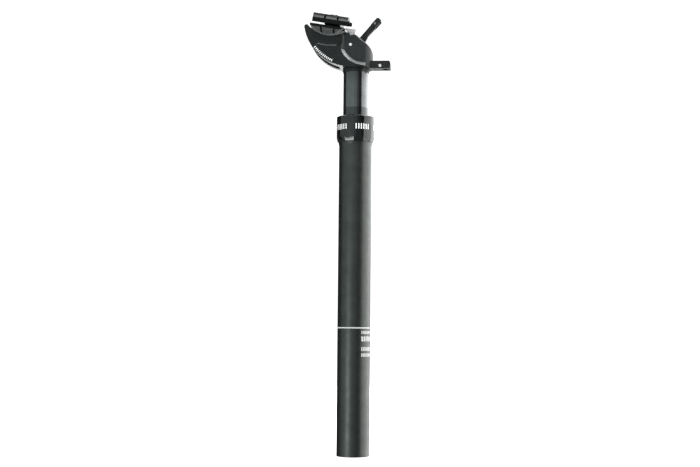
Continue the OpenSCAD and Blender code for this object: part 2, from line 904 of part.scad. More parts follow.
// Frame of the lever's arm: origin at the pivot, +X along the arm
module in_lever() {
    translate([pivot[0], 0, pivot[1]])
        rotate([0, -lever_angle, 0])
            children();
}

// Lever: hub, nose, straight arm and forked tip
module release_lever() {
    arm_under = -lever_offset - lever_t/2;
    arm_over = -lever_offset + lever_t/2;
    fork = lever_length - fork_length;
    tip = [lever_length - lever_t/2, -lever_offset];
    fork_end = arc(tip, lever_t/2, -90, 90);
    color("#26292b")
        difference() {
            union() {
                cross(pivot, hub_r, hub_w);
                cross(nose, nose_r, lever_w - lever_play);
                in_lever() {
                    plate([
                        [0, arm_over], [0, -lever_offset], [root_length/2, -root_depth],
                        [root_length, arm_under], [fork + over/2, arm_under], [fork + over/2, arm_over]
                    ], lever_w);
                    plate(concat([[fork, arm_over], [fork, arm_under]], fork_end), fork_w);
                }
            }
            cross(pivot, bush_r, far);
            in_lever() {
                block(fork + over, far, fork_slot, -far, far);
                cross([lever_length - anchor_in, -lever_offset], anchor_d/2, far);
            }
        }
}

// Two plain bushes pressed into the lever's hub
module lever_bushes() {
    bush_length = (hub_w - 1)/2;
    color("#c8a24a")
        for (side_y = [-1, 1])
            translate([0, side_y*(hub_w - bush_length)/2, 0])
                difference() {
                    cross(pivot, bush_r, bush_length);
                    cross(pivot, bush_bore_r, far);
                }
}

// Barrel in the fork, drilled for the cable
module cable_anchor() {
    color("#d5d8da")
        in_lever()
            difference() {
                cross([lever_length - anchor_in, -lever_offset], anchor_d/2, fork_w);
                translate([lever_length - anchor_in, 0, -far])
                    cylinder(d = cable_d, h = 2*far);
            }
}

// Grooves for the two saddle rails
module rail_grooves() {
    for (side_y = [-1, 1])
        translate([0, side_y*rail_spacing/2, -rail_drop])
            rotate([0, 90, 0])
                cylinder(d = rail_d, h = 2*far, center = true);
}

// Hole round the clamp bolt's axis
module clamp_hole(r) {
    translate([bolt_front, 0, -far])
        cylinder(r = r, h = 2*far);
}

// Block of a length and a width that is centred on the clamp bolt
module clamp_block(length, width, z0, z1) {
    block(bolt_front - length/2, bolt_front + length/2, width, z0, z1);
}

// Closed outline from the points of its +Y half
function both_sides(half) = concat(half, [for (i = [len(half) - 1:-1:0]) [-half[i][0], half[i][1]]]);

// Section across the lower clamp, from the cradle out to its rail lips
module lower_section(inset, top) {
    half_w = lower_w/2 - inset;
    half = [[head_w/2 - inset, -cradle_r], [half_w, lower_top - lower_lip], [half_w, top]];
    rotate([90, 0, 90])
        linear_extrude(2*far, center = true)
            polygon(both_sides(half));
}

// Lower clamp: a round-bottomed cradle block that widens to its rail lips
module lower_clamp() {
    color("#2a2d2f")
        in_clamp()
            difference() {
                intersection() {
                    rotate([90, 0, 0])
                        cylinder(r = cradle_r - run, h = far, center = true);
                    lower_section(0, lower_top);
                }
                block(-far, -lower_back, far, -far, 0);
                rail_grooves();
                clamp_hole(bolt_d/2 + loose);
                for (x = [trim_front - trim_spacing/2, trim_front + trim_spacing/2])
                    difference() {
                        block(x - trim_w/2, x + trim_w/2, far, -far, 0);
                        lower_section(trim_depth, over);
                    }
            }
}

// Section across the upper clamp, with a lip below a leaning panel on each side and a raised middle
module upper_section() {
    half_w = upper_w/2;
    panel = half_w - ear_lip;
    panel_top = panel - ear_lean;
    z_lip = upper_under + ear_lip_h;
    half = [
        [rail_spacing/2, upper_under + upper_rise], [rail_spacing/2, upper_under], [half_w, upper_under],
        [half_w, z_lip], [panel, z_lip + ear_ledge], [panel_top, upper_top - upper_chamfer],
        [panel_top - upper_chamfer, upper_top], [half_w - ear_w, upper_top], [saddle_w/2, saddle_top]
    ];
    rotate([90, 0, 90])
        linear_extrude(far, center = true)
            polygon(both_sides(half));
}

// Upper clamp: two ears with bowed front ends over the rails, on a bridge with a boss round the bolt
module upper_clamp() {
    middle = bolt_front + upper_front;
    back = middle - upper_length/2;
    panel_front = middle + upper_length/2;
    front = panel_front + upper_bow;
    half_w = upper_w/2;
    bow_r = (half_w*half_w + upper_bow*upper_bow)/(2*upper_bow);
    bridge = [bolt_front - boss_w/2, bolt_front + boss_w/2];
    groove_in = half_w - ear_lip - ear_lean - trim_depth;
    z_groove = upper_under + ear_lip_h + ear_ledge/2;
    color("#2a2d2f")
        in_clamp()
            difference() {
                union() {
                    intersection() {
                        upper_section();
                        plate([
                            [back, upper_under], [front, upper_under], [front, saddle_top],
                            [back + upper_chamfer, saddle_top], [back, saddle_top - upper_chamfer]
                        ], far);
                        translate([front - bow_r, 0, -far])
                            cylinder(r = bow_r, h = far);
                    }
                    clamp_block(boss_w, boss_w, lower_top + boss_gap, upper_top);
                    for (y = [nib_inset - half_w, half_w - nib_inset - nib_w])
                        translate([panel_front - nib_w, y, upper_under + nib_inset])
                            cube([nib_w + nib_reach, nib_w, ear_lip_h - 2*nib_inset]);
                }
                for (x = [[-far, bridge[0]], [bridge[1], far]])
                    block(x[0], x[1], upper_w - 2*ear_w, -far, over);
                rail_grooves();
                clamp_hole(bolt_d/2 + loose);
                for (x = [-1, 1], y = [-groove_in - far, groove_in])
                    translate([middle + x*trim_spacing/2 - trim_w/2, y, z_groove])
                        cube([trim_w, far, far]);
            }
}

// Socket-head bolt up through both clamps
module clamp_bolt() {
    color("#6f7376")
        in_clamp()
            difference() {
                union() {
                    translate([bolt_front, 0, bolt_under])
                        cylinder(d = bolt_head_d, h = bolt_head_h);
                    translate([bolt_front, 0, bolt_under])
                        cylinder(d = bolt_d, h = nut_top - bolt_under);
                }
                translate([bolt_front, 0, bolt_under - over])
                    cylinder(d = bolt_key/cos(30), h = bolt_key_depth + over, $fn = 6);
            }
}

// Washer with a hollow upper face that slides round the cradle's underside
module curved_washer() {
    color("#7d8286")
        in_clamp()
            difference() {
                clamp_block(washer_w, washer_w, washer_under, -seat_r + washer_t);
                rotate([90, 0, 0])
                    cylinder(r = seat_r + run, h = far, center = true);
                clamp_hole((bolt_d + loose)/2);
            }
}

module nut_washer() {
    color("#b9bdc0")
        in_clamp()
            translate([bolt_front, 0, saddle_top])
                difference() {
                    cylinder(d = nut_washer_d, h = nut_washer_t);
                    translate([0, 0, -over])
                        cylinder(d = bolt_d + loose, h = nut_washer_t + 2*over);
                }
}

// Round nut with two notches for a tool
module clamp_nut() {
    notch = nut_d/6;
    color("#c9cdd0")
        in_clamp()
            translate([bolt_front, 0, nut_under])
                difference() {
                    cylinder(d = nut_d, h = nut_h);
                    translate([0, 0, -over])
                        cylinder(d = bolt_d + 2*run, h = nut_h + 2*over);
                    for (side_y = [-1, 1])
                        translate([-notch/2, side_y*nut_d/2 - notch/2, nut_h - notch])
                            cube([notch, notch, 2*notch]);
                }
}

outer_tube();
collar();
collar_o_ring();
upper_bushing();
inner_seal();
wiper_seal();
base_plug();
base_circlips();
rod_bolt();
bump_stop();
piston_rod();
piston();
piston_ring();
piston_nut();
stanchion();
lower_guide_bush();
anti_rotation_keys();
post_end_nut();
cartridge_cylinder();
rod_guide();
rod_seal();
valve_body();
valve_o_ring();
cartridge_spacer();
head();
lever_pivot_pin();
cable_stop_screw();
valve_pin();
release_lever();
lever_bushes();
cable_anchor();
lower_clamp();
clamp_bolt();
curved_washer();
upper_clamp();
nut_washer();
clamp_nut();
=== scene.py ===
# Dropper seatpost: the shape and finish of every piece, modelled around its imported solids, in metres.
import json
import math

import bpy
from mathutils import Matrix, Vector

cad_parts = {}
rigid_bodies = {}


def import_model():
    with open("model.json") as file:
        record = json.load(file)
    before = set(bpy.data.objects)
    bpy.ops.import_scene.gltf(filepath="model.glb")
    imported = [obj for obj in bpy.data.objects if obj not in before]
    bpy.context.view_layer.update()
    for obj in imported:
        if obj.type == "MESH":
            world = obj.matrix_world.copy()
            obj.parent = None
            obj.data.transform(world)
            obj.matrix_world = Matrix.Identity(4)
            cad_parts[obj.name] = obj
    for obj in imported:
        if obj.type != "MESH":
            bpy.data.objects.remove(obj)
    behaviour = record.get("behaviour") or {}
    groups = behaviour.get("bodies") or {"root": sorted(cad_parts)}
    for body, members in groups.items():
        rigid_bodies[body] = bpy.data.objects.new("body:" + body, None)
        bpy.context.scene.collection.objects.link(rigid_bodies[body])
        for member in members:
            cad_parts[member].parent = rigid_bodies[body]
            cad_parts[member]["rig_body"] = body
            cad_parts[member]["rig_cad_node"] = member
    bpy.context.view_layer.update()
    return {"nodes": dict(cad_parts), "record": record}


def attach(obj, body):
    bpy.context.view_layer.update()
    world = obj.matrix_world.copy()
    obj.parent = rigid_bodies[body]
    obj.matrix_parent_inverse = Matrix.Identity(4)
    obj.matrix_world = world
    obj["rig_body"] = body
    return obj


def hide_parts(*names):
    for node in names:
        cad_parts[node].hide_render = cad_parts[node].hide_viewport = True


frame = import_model()
nodes = frame["nodes"]
mm = 0.001

# Camera
# A long lens at a third of the post's height, turned a little to the front of the bicycle and tipped up,
# so that the post fills the picture and the undersides of its head show.
image_w = 700
focal_length = 1300
sensor_w = 36
view_turn = math.radians(5)
view_rise = math.radians(4)
view_roll = math.radians(0.52)
view_distance = 1081.7 * mm
view_height = 108.2 * mm
view_slide = -3.82 * mm

view_back = Vector((math.sin(view_turn), -math.cos(view_turn), 0))
view_right = Vector((math.cos(view_turn), math.sin(view_turn), 0))
view_ahead = Vector((0, 0, math.sin(view_rise))) - view_back * math.cos(view_rise)
view_up = view_right.cross(view_ahead)
view_right = view_right * math.cos(view_roll) + view_up * math.sin(view_roll)
view_up = view_right.cross(view_ahead)
view_place = view_back * view_distance + Vector((0, 0, view_height)) + view_right * view_slide

bpy.ops.object.select_all(action="DESELECT")
bpy.ops.object.camera_add()
camera = bpy.context.object
camera.matrix_world = (
    Matrix.Translation(view_place) @ Matrix((view_right, view_up, -view_ahead)).transposed().to_4x4()
)
camera.data.sensor_width = sensor_w
camera.data.lens = sensor_w * focal_length / image_w
bpy.context.scene.camera = camera

# Outer tube
# Drawn aluminium tube, bead blasted and anodised black. It has a pale line round it at its least
# insertion depth with rows of plain ticks below, and its shoulder and threaded neck carry the collar.
tube_black = (0.104, 0.11, 0.105, 1)
tube_grey = (0.13, 0.138, 0.131, 1)
print_grey = (0.5, 0.51, 0.5, 1)
line_z = 105.4
line_h = 1.0
row_start = 33
row_end = 145
tick_rows = [(100.5, 102.8, 5.5), (94.4, 98.4, 9), (86.6, 89.7, 6.5), (81.8, 84.5, 6.5)]
row_share = 0.6
copy_weld = 0.0005
flat_turn = math.radians(0.5)
sort_from = (0.31, 0.57, 0.83)


class Wire:
    """An output socket in a finish's shader. Arithmetic on it adds Math nodes."""

    def __init__(self, tree, socket):
        self.tree = tree
        self.socket = socket

    def node(self, kind, inputs, out=0, **settings):
        """Output of a new node, which has its settings made before its inputs are set or linked."""
        made = self.tree.nodes.new("ShaderNode" + kind)
        for name, value in settings.items():
            setattr(made, name, value)
        for name, value in inputs.items():
            if isinstance(value, Wire):
                self.tree.links.new(value.socket, made.inputs[name])
            else:
                made.inputs[name].default_value = value
        return Wire(self.tree, made.outputs[out])

    def math(self, operation, first, second=0.0):
        return self.node("Math", {0: first, 1: second}, operation=operation)

    def __add__(self, other):
        return self.math("ADD", self, other)

    def __radd__(self, other):
        return self.math("ADD", other, self)

    def __sub__(self, other):
        return self.math("SUBTRACT", self, other)

    def __rsub__(self, other):
        return self.math("SUBTRACT", other, self)

    def __mul__(self, other):
        return self.math("MULTIPLY", self, other)

    def __rmul__(self, other):
        return self.math("MULTIPLY", other, self)

    def __truediv__(self, other):
        return self.math("DIVIDE", self, other)

    def __mod__(self, other):
        return self.math("FLOORED_MODULO", self, other)

    def __gt__(self, other):
        return self.math("GREATER_THAN", self, other)

    def __lt__(self, other):
        return self.math("LESS_THAN", self, other)

    def __abs__(self):
        return self.math("ABSOLUTE", self)


def new_finish(name, fixed):
    """A material with its shader's constant inputs, and a wire with the piece's own coordinates."""
    material = bpy.data.materials.new(name)
    material.use_nodes = True
    tree = material.node_tree
    for socket, value in fixed.items():
        tree.nodes["Principled BSDF"].inputs[socket].default_value = value
    return material, Wire(tree, tree.nodes.new("ShaderNodeTexCoord").outputs["Object"])


def feed(material, socket, wire):
    """Links a wire to an input of the material's shader."""
    tree = material.node_tree
    tree.links.new(wire.socket, tree.nodes["Principled BSDF"].inputs[socket])


def along(place, axis):
    """Place along the X, Y or Z axis, in millimetres."""
    return place.node("SeparateXYZ", {0: place}, out="XYZ".index(axis)) / mm


def between(value, low, high):
    """A mask that is 1 where the value lies between two limits."""
    return (value > low) * (value < high)


def wander(place, size, low, high):
    """A value that drifts between low and high in patches of a size in millimetres."""
    patches = place.node("TexNoise", {"Vector": place, "Scale": 1 / (size * mm), "Detail": 4.0})
    return place.node(
        "MapRange", {"Value": patches, "From Min": 0.3, "From Max": 0.7, "To Min": low, "To Max": high}
    )


def over(mask, under, top):
    """One colour over another, by a mask."""
    return mask.node("Mix", {0: mask, 6: under, 7: top}, out=2, data_type="RGBA")


def grain(place, size, depth):
    """Fine relief of a size and a depth in millimetres, for a shader's normal."""
    height = place.node("TexNoise", {"Vector": place, "Scale": 1 / (size * mm), "Detail": 2.0})
    return place.node("Bump", {"Height": height, "Strength": 1.0, "Distance": depth * mm})


def work_on(piece):
    """Makes a piece the active one and the only one that is selected."""
    bpy.ops.object.select_all(action="DESELECT")
    piece.select_set(True)
    bpy.context.view_layer.objects.active = piece


def sort_by_place():
    """Orders the selected points, edges and faces by their place, so that every run goes on alike."""
    bpy.context.scene.cursor.location = sort_from
    bpy.ops.mesh.sort_elements(type="CURSOR_DISTANCE", elements={"VERT", "EDGE", "FACE"})
    bpy.context.scene.cursor.location = (0, 0, 0)


def clean(piece, weld, sort=False):
    """Merges a piece's points that lie within a distance in millimetres, and makes its flats whole."""
    work_on(piece)
    bpy.ops.object.mode_set(mode="EDIT")
    bpy.ops.mesh.select_all(action="SELECT")
    if sort:
        sort_by_place()
    bpy.ops.mesh.remove_doubles(threshold=weld * mm)
    bpy.ops.mesh.dissolve_limited(angle_limit=flat_turn)
    bpy.ops.object.mode_set(mode="OBJECT")


def welded_copy(node, name):
    """A copy of a CAD node as one skin, with its flat faces whole."""
    work_on(nodes[node])
    bpy.ops.object.duplicate()
    piece = bpy.context.object
    piece.name = name
    piece.data.name = name
    del piece["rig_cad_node"]
    clean(piece, copy_weld)
    return piece


def rounded(piece, width, segments=2, sharp=35):
    """Rounds the sharp edges of a piece by a width in millimetres and keeps its flats flat in the light."""
    work_on(piece)
    rounding = piece.modifiers.new("Rounding", "BEVEL")
    rounding.width = width * mm
    rounding.segments = segments
    rounding.limit_method = "ANGLE"
    rounding.angle_limit = math.radians(sharp)
    rounding.use_clamp_overlap = False
    rounding.miter_outer = "MITER_ARC"
    bpy.ops.object.modifier_apply(modifier="Rounding")
    bpy.ops.object.shade_smooth_by_angle(angle=math.radians(sharp))
    weighting = piece.modifiers.new("Weighting", "WEIGHTED_NORMAL")
    weighting.keep_sharp = True
    bpy.ops.object.modifier_apply(modifier="Weighting")
    return piece


def take_place(piece, node, finish):
    """The piece stands for a CAD node: it rides on the node's body, takes the given finish and hides the
    node.
    """
    piece.data.materials.clear()
    piece.data.materials.append(finish)
    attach(piece, nodes[node]["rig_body"])
    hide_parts(node)


def round_axis(place):
    """Turn about the post's axis in degrees, from the right side of the bicycle towards its front."""
    return place.math("ARCTAN2", along(place, "X"), 0 - along(place, "Y")) * math.degrees(1)


tube_finish, place = new_finish("tube_anodised", {})
height = along(place, "Z")
turn = round_axis(place)
marks = between(height, line_z - line_h / 2, line_z + line_h / 2)
for low, high, pitch in tick_rows:
    ticks = ((turn - row_start) % pitch) < row_share * pitch
    marks = marks + ticks * between(height, low, high) * between(turn, row_start, row_end)
shade = over(wander(place, 9, 0.0, 1.0), tube_black, tube_grey)
feed(tube_finish, "Base Color", over(marks, shade, print_grey))
feed(tube_finish, "Metallic", 1 - marks)
feed(tube_finish, "Roughness", wander(place, 3, 0.34, 0.42))
feed(tube_finish, "Normal", grain(place, 0.3, 0.003))
take_place(rounded(welded_copy("outer_tube", "anodised_tube"), 0.2), "outer_tube", tube_finish)

# Base of the tube
# A turned aluminium plug between two spring-steel circlips closes the tube. A socket-head bolt through it
# holds the piston rod, with a rubber bump stop round the rod.
colour_of = {finish["slot"]: finish["base_color"] for finish in frame["record"]["materials"]}


def plain_finish(slot, roughness, metallic, patch=4, size=0.2, depth=0.002):
    """A finish of one of the record's slots, with patchy colour and gloss and a fine grain."""
    colour = Vector(colour_of[slot])
    material, place = new_finish(slot, {"Metallic": metallic})
    shade = over(wander(place, patch, 0.0, 1.0), (*(colour * 0.82), 1), (*(colour * 1.1), 1))
    feed(material, "Base Color", shade)
    feed(material, "Roughness", wander(place, patch / 3, roughness - 0.06, roughness + 0.06))
    feed(material, "Normal", grain(place, size, depth))
    return material


def coat(node, finish):
    """Gives a CAD node that keeps its shape a finish."""
    nodes[node].data.materials.clear()
    nodes[node].data.materials.append(finish)


alloy = plain_finish("alloy", 0.32, 1.0)
dark_steel = plain_finish("dark_steel", 0.34, 1.0)
rubber = plain_finish("rubber", 0.7, 0.0, depth=0.006)
take_place(rounded(welded_copy("base_plug", "closing_plug"), 0.3), "base_plug", alloy)
take_place(rounded(welded_copy("base_circlips", "plug_circlips"), 0.12), "base_circlips", dark_steel)
take_place(rounded(welded_copy("rod_bolt", "socket_bolt"), 0.3), "rod_bolt", dark_steel)
coat("bump_stop", rubber)

# Piston
# A ground steel rod carries a brass piston with a plastic ring, held by a hexagon nut. They stay with the
# tube while the cartridge in the inner post slides over them.
steel = plain_finish("steel", 0.18, 1.0)
bronze = plain_finish("bronze", 0.3, 1.0)
bush_plastic = plain_finish("bush_plastic", 0.5, 0.0)
coat("piston_rod", steel)
coat("piston", bronze)
coat("piston_ring", bush_plastic)
coat("piston_nut", dark_steel)

# Collar
# Turned aluminium nut, polished and anodised gloss black, with twelve slanted wrench facets at its lower end
# and groups of plain white index ticks round it. It screws on the tube's neck over an O-ring.
collar_section = [
    (14.9, 260), (15.75, 263.5), (15.75, 281), (15.25, 281.5), (12.8, 281.5), (12.8, 277.5), (13.6, 277.5),
    (13.6, 265), (14.6, 265), (14.6, 264), (13.6, 264), (13.6, 260),
]
collar_steps = 144
facet_low_r = 14.35
facet_top_r = 15.75
facet_h = 5.4
facet_reach = 20
facet_count = 12
facet_margin = 1
seam_weld = 0.01
collar_black = (0.088, 0.09, 0.09, 1)
collar_grey = (0.112, 0.114, 0.114, 1)
print_white = (0.86, 0.87, 0.86, 1)
tick_groups = 5
ticks_start = -67
tick_count = 6
tick_pitch = 8
tick_share = 0.45
ticks_low = 269.8
ticks_high = 274.3
ink_roughness = 0.3


def start_point(name, place):
    """A new mesh of one point at a place in millimetres, selected in edit mode."""
    bpy.ops.object.select_all(action="DESELECT")
    bpy.ops.mesh.primitive_plane_add(size=mm)
    piece = bpy.context.object
    piece.name = name
    piece.data.name = name
    bpy.ops.object.mode_set(mode="EDIT")
    bpy.ops.mesh.select_mode(type="VERT")
    bpy.ops.mesh.select_all(action="SELECT")
    bpy.ops.mesh.merge(type="CENTER")
    bpy.ops.transform.translate(value=Vector(place) * mm)
    return piece


def draw_on(moves):
    """Draws on from the selected point by a row of moves in millimetres."""
    for move in moves:
        bpy.ops.mesh.extrude_vertices_move(TRANSFORM_OT_translate={"value": Vector(move) * mm})


def turned(name, section, steps):
    """A ring turned about the post's axis from a closed section of radius and height."""
    weld = 0.001 * mm
    ring = start_point(name, (section[0][0], 0, section[0][1]))
    draw_on([(b[0] - a[0], 0, b[1] - a[1]) for a, b in zip(section, section[1:] + section[:1])])
    bpy.ops.mesh.select_all(action="SELECT")
    bpy.ops.mesh.remove_doubles(threshold=weld)
    bpy.ops.mesh.spin(steps=steps, angle=math.radians(360), center=(0, 0, 0), axis=(0, 0, 1))
    bpy.ops.mesh.select_all(action="SELECT")
    bpy.ops.mesh.remove_doubles(threshold=weld)
    bpy.ops.mesh.normals_make_consistent(inside=False)
    bpy.ops.object.mode_set(mode="OBJECT")
    return ring


def cut_away(piece, cutter):
    """Cuts a shape out of a piece."""
    work_on(piece)
    cut = piece.modifiers.new("Cut", "BOOLEAN")
    cut.operation = "DIFFERENCE"
    cut.solver = "EXACT"
    cut.object = cutter
    bpy.ops.object.modifier_apply(modifier="Cut")
    bpy.data.objects.remove(cutter)


def facet_ring():
    """Ring round the collar's foot whose inside is a cone of twelve flats."""
    corner = 1 / math.cos(math.radians(180 / facet_count))
    slant = (facet_top_r - facet_low_r) / facet_h
    low = (facet_low_r - slant * facet_margin) * corner
    high = (facet_top_r + slant * facet_margin) * corner
    foot = collar_section[0][1] - facet_margin
    top = foot + facet_h + 2 * facet_margin
    section = [(low, foot), (high, top), (facet_reach, top), (facet_reach, foot)]
    return turned("facet_ring", section, facet_count)


collar_finish, place = new_finish("collar_anodised", {})
group = (round_axis(place) - ticks_start) % (360 / tick_groups)
ticks = (group < tick_count * tick_pitch) * (group % tick_pitch < tick_share * tick_pitch)
ticks = ticks * between(along(place, "Z"), ticks_low, ticks_high)
shade = over(wander(place, 6, 0.0, 1.0), collar_black, collar_grey)
feed(collar_finish, "Base Color", over(ticks, shade, print_white))
feed(collar_finish, "Metallic", 1 - ticks)
feed(collar_finish, "Roughness", wander(place, 2, 0.1, 0.15) + ticks * ink_roughness)
feed(collar_finish, "Normal", grain(place, 0.5, 0.0006))
collar_nut = turned("collar_nut", collar_section, collar_steps)
cut_away(collar_nut, facet_ring())
clean(collar_nut, seam_weld, sort=True)
take_place(rounded(collar_nut, 0.25, 3, 25), "collar", collar_finish)
coat("collar_o_ring", rubber)

# Bushing and seals
# A flanged plastic bushing guides the inner post in the tube's neck. Above it lie a grooved seal ring and
# a wiper, pressed into the collar, whose lip leans on the post.
coat("upper_bushing", bush_plastic)
coat("inner_seal", rubber)
take_place(rounded(welded_copy("wiper_seal", "wiper_lip"), 0.15), "wiper_seal", rubber)

# Inner post
# Drawn aluminium tube, polished and hard anodised to a black mirror, with painted shade above the wiper and
# below the head. It slides on the bushing and on a guide bush, where three brass keys stop it turning.
post_black = (0.215, 0.222, 0.226, 1)
post_grey = (0.265, 0.272, 0.277, 1)
wiper_shade_grey = (0.14, 0.145, 0.148, 1)
neck_shade_grey = (0.15, 0.155, 0.158, 1)
wiper_shade_low = 278
wiper_shade_high = 289
neck_from = 309
neck_to = 320

post_finish, place = new_finish("post_anodised", {"Metallic": 1.0})
height = along(place, "Z")
shade = over(wander(place, 7, 0.0, 1.0), post_black, post_grey)
# Painted shade: the post darkens towards the head, and in a band just above the wiper.
shade = over((height - neck_from) / (neck_to - neck_from), shade, neck_shade_grey)
feed(post_finish, "Base Color", over(between(height, wiper_shade_low, wiper_shade_high), shade, wiper_shade_grey))
feed(post_finish, "Roughness", wander(place, 4, 0.1, 0.16))
feed(post_finish, "Normal", grain(place, 0.6, 0.0004))
take_place(rounded(welded_copy("stanchion", "polished_post"), 0.2), "stanchion", post_finish)
coat("lower_guide_bush", bush_plastic)
coat("anti_rotation_keys", bronze)
coat("post_end_nut", alloy)

# Cartridge
# A sealed aluminium cylinder inside the post, with the rod's guide and seal below and the valve body with
# its O-ring above. A spacer holds it down from the head.
coat("cartridge_cylinder", alloy)
coat("rod_guide", bronze)
coat("rod_seal", rubber)
coat("valve_body", alloy)
coat("valve_o_ring", rubber)
coat("cartridge_spacer", alloy)

# Head
# Forged and machined aluminium, painted satin black and bonded on the inner post. It has the round cradle
# of the saddle clamp, the lever's housing with a chamfered step beside it, and the cable stop's arm.
head_black = (0.005, 0.006, 0.0062, 1)
head_grey = (0.008, 0.0092, 0.0095, 1)
ledge_highlight_grey = (0.19, 0.198, 0.2, 1)
housing_highlight_grey = (0.016, 0.018, 0.019, 1)
step_highlight_grey = (0.2, 0.208, 0.213, 1)
round_front = 8.8
ledge_end = -15.3
cradle_x = -19.6
cradle_z = 373.9
ledge_in = 33.25
ledge_out = 34.3
side_y = 14.5
crescent_x = -3.1
crescent_z = 362
crescent_r = 40
scale_in = 37.3
scale_out = 39.1
scale_start = -143
scale_end = -113
scale_pitch = 2.5
scale_share = 0.5
ledge_h = 0.995
step_x = 7.5
step_z = 344
step_r = 18.95
step_turn = 67.87
step_parts = 14
step_depth = 1.6
step_flare = 1.4
step_wall = -10.1
step_fillet = 1.1
housing_y = 11.3
crown_chamfer = 0.8
step_top = 365
step_front = 20
rim_front = -10.3
rim_w = 0.5
foot_r = 19
foot_slack = 0.06
crown_low = 345
crown_back = 1
flat_slack = 0.01
level = 0.999
ledge_skin = 0.05
ledge_w = 0.95
housing_skin = 0.1
print_skin = 0.2
band_in = 17.2
band_out = 20.6
band_top = -7.2
band_front = 1.5
blast_roughness = 0.18
chamfer_weld = 0.02
cut_slack = 0.001
lever_x = -3.9
lever_z = 341.2
arm_y = 6
screw_x = 20.5


def in_triangles(piece):
    """Cuts a piece's flats into triangles of good shape, so that moved points leave no folded face."""
    work_on(piece)
    bpy.ops.object.mode_set(mode="EDIT")
    bpy.ops.mesh.select_all(action="SELECT")
    bpy.ops.mesh.quads_convert_to_tris(ngon_method="BEAUTY")
    bpy.ops.object.mode_set(mode="OBJECT")


def whole_flats(piece, keep="NORMAL", sort=False):
    """Joins the faces of each flat of a piece, up to the edges that are to be kept, and clears its seams."""
    work_on(piece)
    bpy.ops.object.mode_set(mode="EDIT")
    bpy.ops.mesh.select_all(action="SELECT")
    if sort:
        sort_by_place()
    bpy.ops.mesh.dissolve_limited(angle_limit=flat_turn, delimit={keep})
    bpy.ops.mesh.mark_seam(clear=True)
    bpy.ops.object.mode_set(mode="OBJECT")


def halve_flats(piece, y, place, across):
    """Halves the two flats at a distance from the middle by a seam, so that no face goes round their hole."""
    work_on(piece)
    bpy.ops.object.mode_set(mode="EDIT")
    bpy.ops.mesh.select_mode(type="FACE")
    bpy.ops.mesh.select_all(action="DESELECT")
    bpy.ops.object.mode_set(mode="OBJECT")
    for face in piece.data.polygons:
        face.select = abs(face.normal.y) > level and abs(abs(face.center.y) / mm - y) < flat_slack
    bpy.ops.object.mode_set(mode="EDIT")
    bpy.ops.mesh.bisect(plane_co=Vector(place) * mm, plane_no=across, threshold=cut_slack * mm)
    bpy.ops.mesh.mark_seam()
    bpy.ops.object.mode_set(mode="OBJECT")


def edges_at(piece, wanted):
    """Selects the edges of a piece whose two ends fit a test in millimetres, and stays in edit mode."""
    work_on(piece)
    bpy.ops.object.mode_set(mode="EDIT")
    bpy.ops.mesh.select_mode(type="EDGE")
    bpy.ops.mesh.select_all(action="DESELECT")
    bpy.ops.object.mode_set(mode="OBJECT")
    points = [vert.co / mm for vert in piece.data.vertices]
    for edge in piece.data.edges:
        edge.select = wanted(points[edge.vertices[0]], points[edge.vertices[1]])
    bpy.ops.object.mode_set(mode="EDIT")


def on_face(a, b, y):
    """Whether both ends of an edge lie on the same flat side of the head."""
    return abs(abs(a.y) - y) < flat_slack and abs(abs(b.y) - y) < flat_slack and a.y * b.y > 0


def on_ledge(a, b):
    """Whether an edge is the upper edge of the rim's ledge below the cradle."""
    middle = (a + b) / 2
    reach = math.hypot(middle.x - crescent_x, middle.z - crescent_z)
    return on_face(a, b, side_y) and middle.x < rim_front and reach < crescent_r - rim_w


def on_step_foot(a, b):
    """Whether an edge is the foot of the step, where it meets the side of the lever's housing."""
    foot = on_face(a, b, housing_y)
    for end in (a, b):
        reach = math.hypot(end.x - step_x, end.z - step_z)
        on_arc = abs(reach - foot_r) < foot_slack and end.z < step_z
        foot = foot and (on_arc or abs(end.x - step_wall) < flat_slack)
    return foot


def on_crown(a, b):
    """Whether an edge runs along the top of the housing's side, over the crown and down to the brow."""
    middle = (a + b) / 2
    return on_face(a, b, housing_y) and middle.z > crown_low and middle.x > crown_back


def step_cutter(side):
    """Flared block on one side of the head, which chamfers the round step beside the lever's housing."""
    rise = step_top - step_z + step_r * math.cos(math.radians(step_turn))
    run = step_front - step_x + step_r * math.sin(math.radians(step_turn))
    tall = step_top - step_z + step_r
    floor = side * (side_y - step_depth)
    cutter = start_point("step_cutter", (step_x, floor, step_z - step_r))
    hub = Vector((step_x, floor, step_z)) * mm
    bpy.ops.mesh.spin(steps=step_parts, angle=math.radians(step_turn), center=hub, axis=(0, -1, 0))
    draw_on([(0, 0, rise), (run, 0, 0), (0, 0, -tall)])
    bpy.ops.mesh.select_all(action="SELECT")
    bpy.ops.mesh.edge_face_add()
    bpy.ops.mesh.extrude_region_move(TRANSFORM_OT_translate={"value": (0, side * step_depth * mm, 0)})
    bpy.ops.transform.resize(
        value=(1 + step_flare / run, 1, 1 + step_flare / tall),
        center_override=Vector((step_front, 0, step_top)) * mm,
    )
    bpy.ops.mesh.select_all(action="SELECT")
    bpy.ops.mesh.normals_make_consistent(inside=False)
    bpy.ops.object.mode_set(mode="OBJECT")
    return cutter


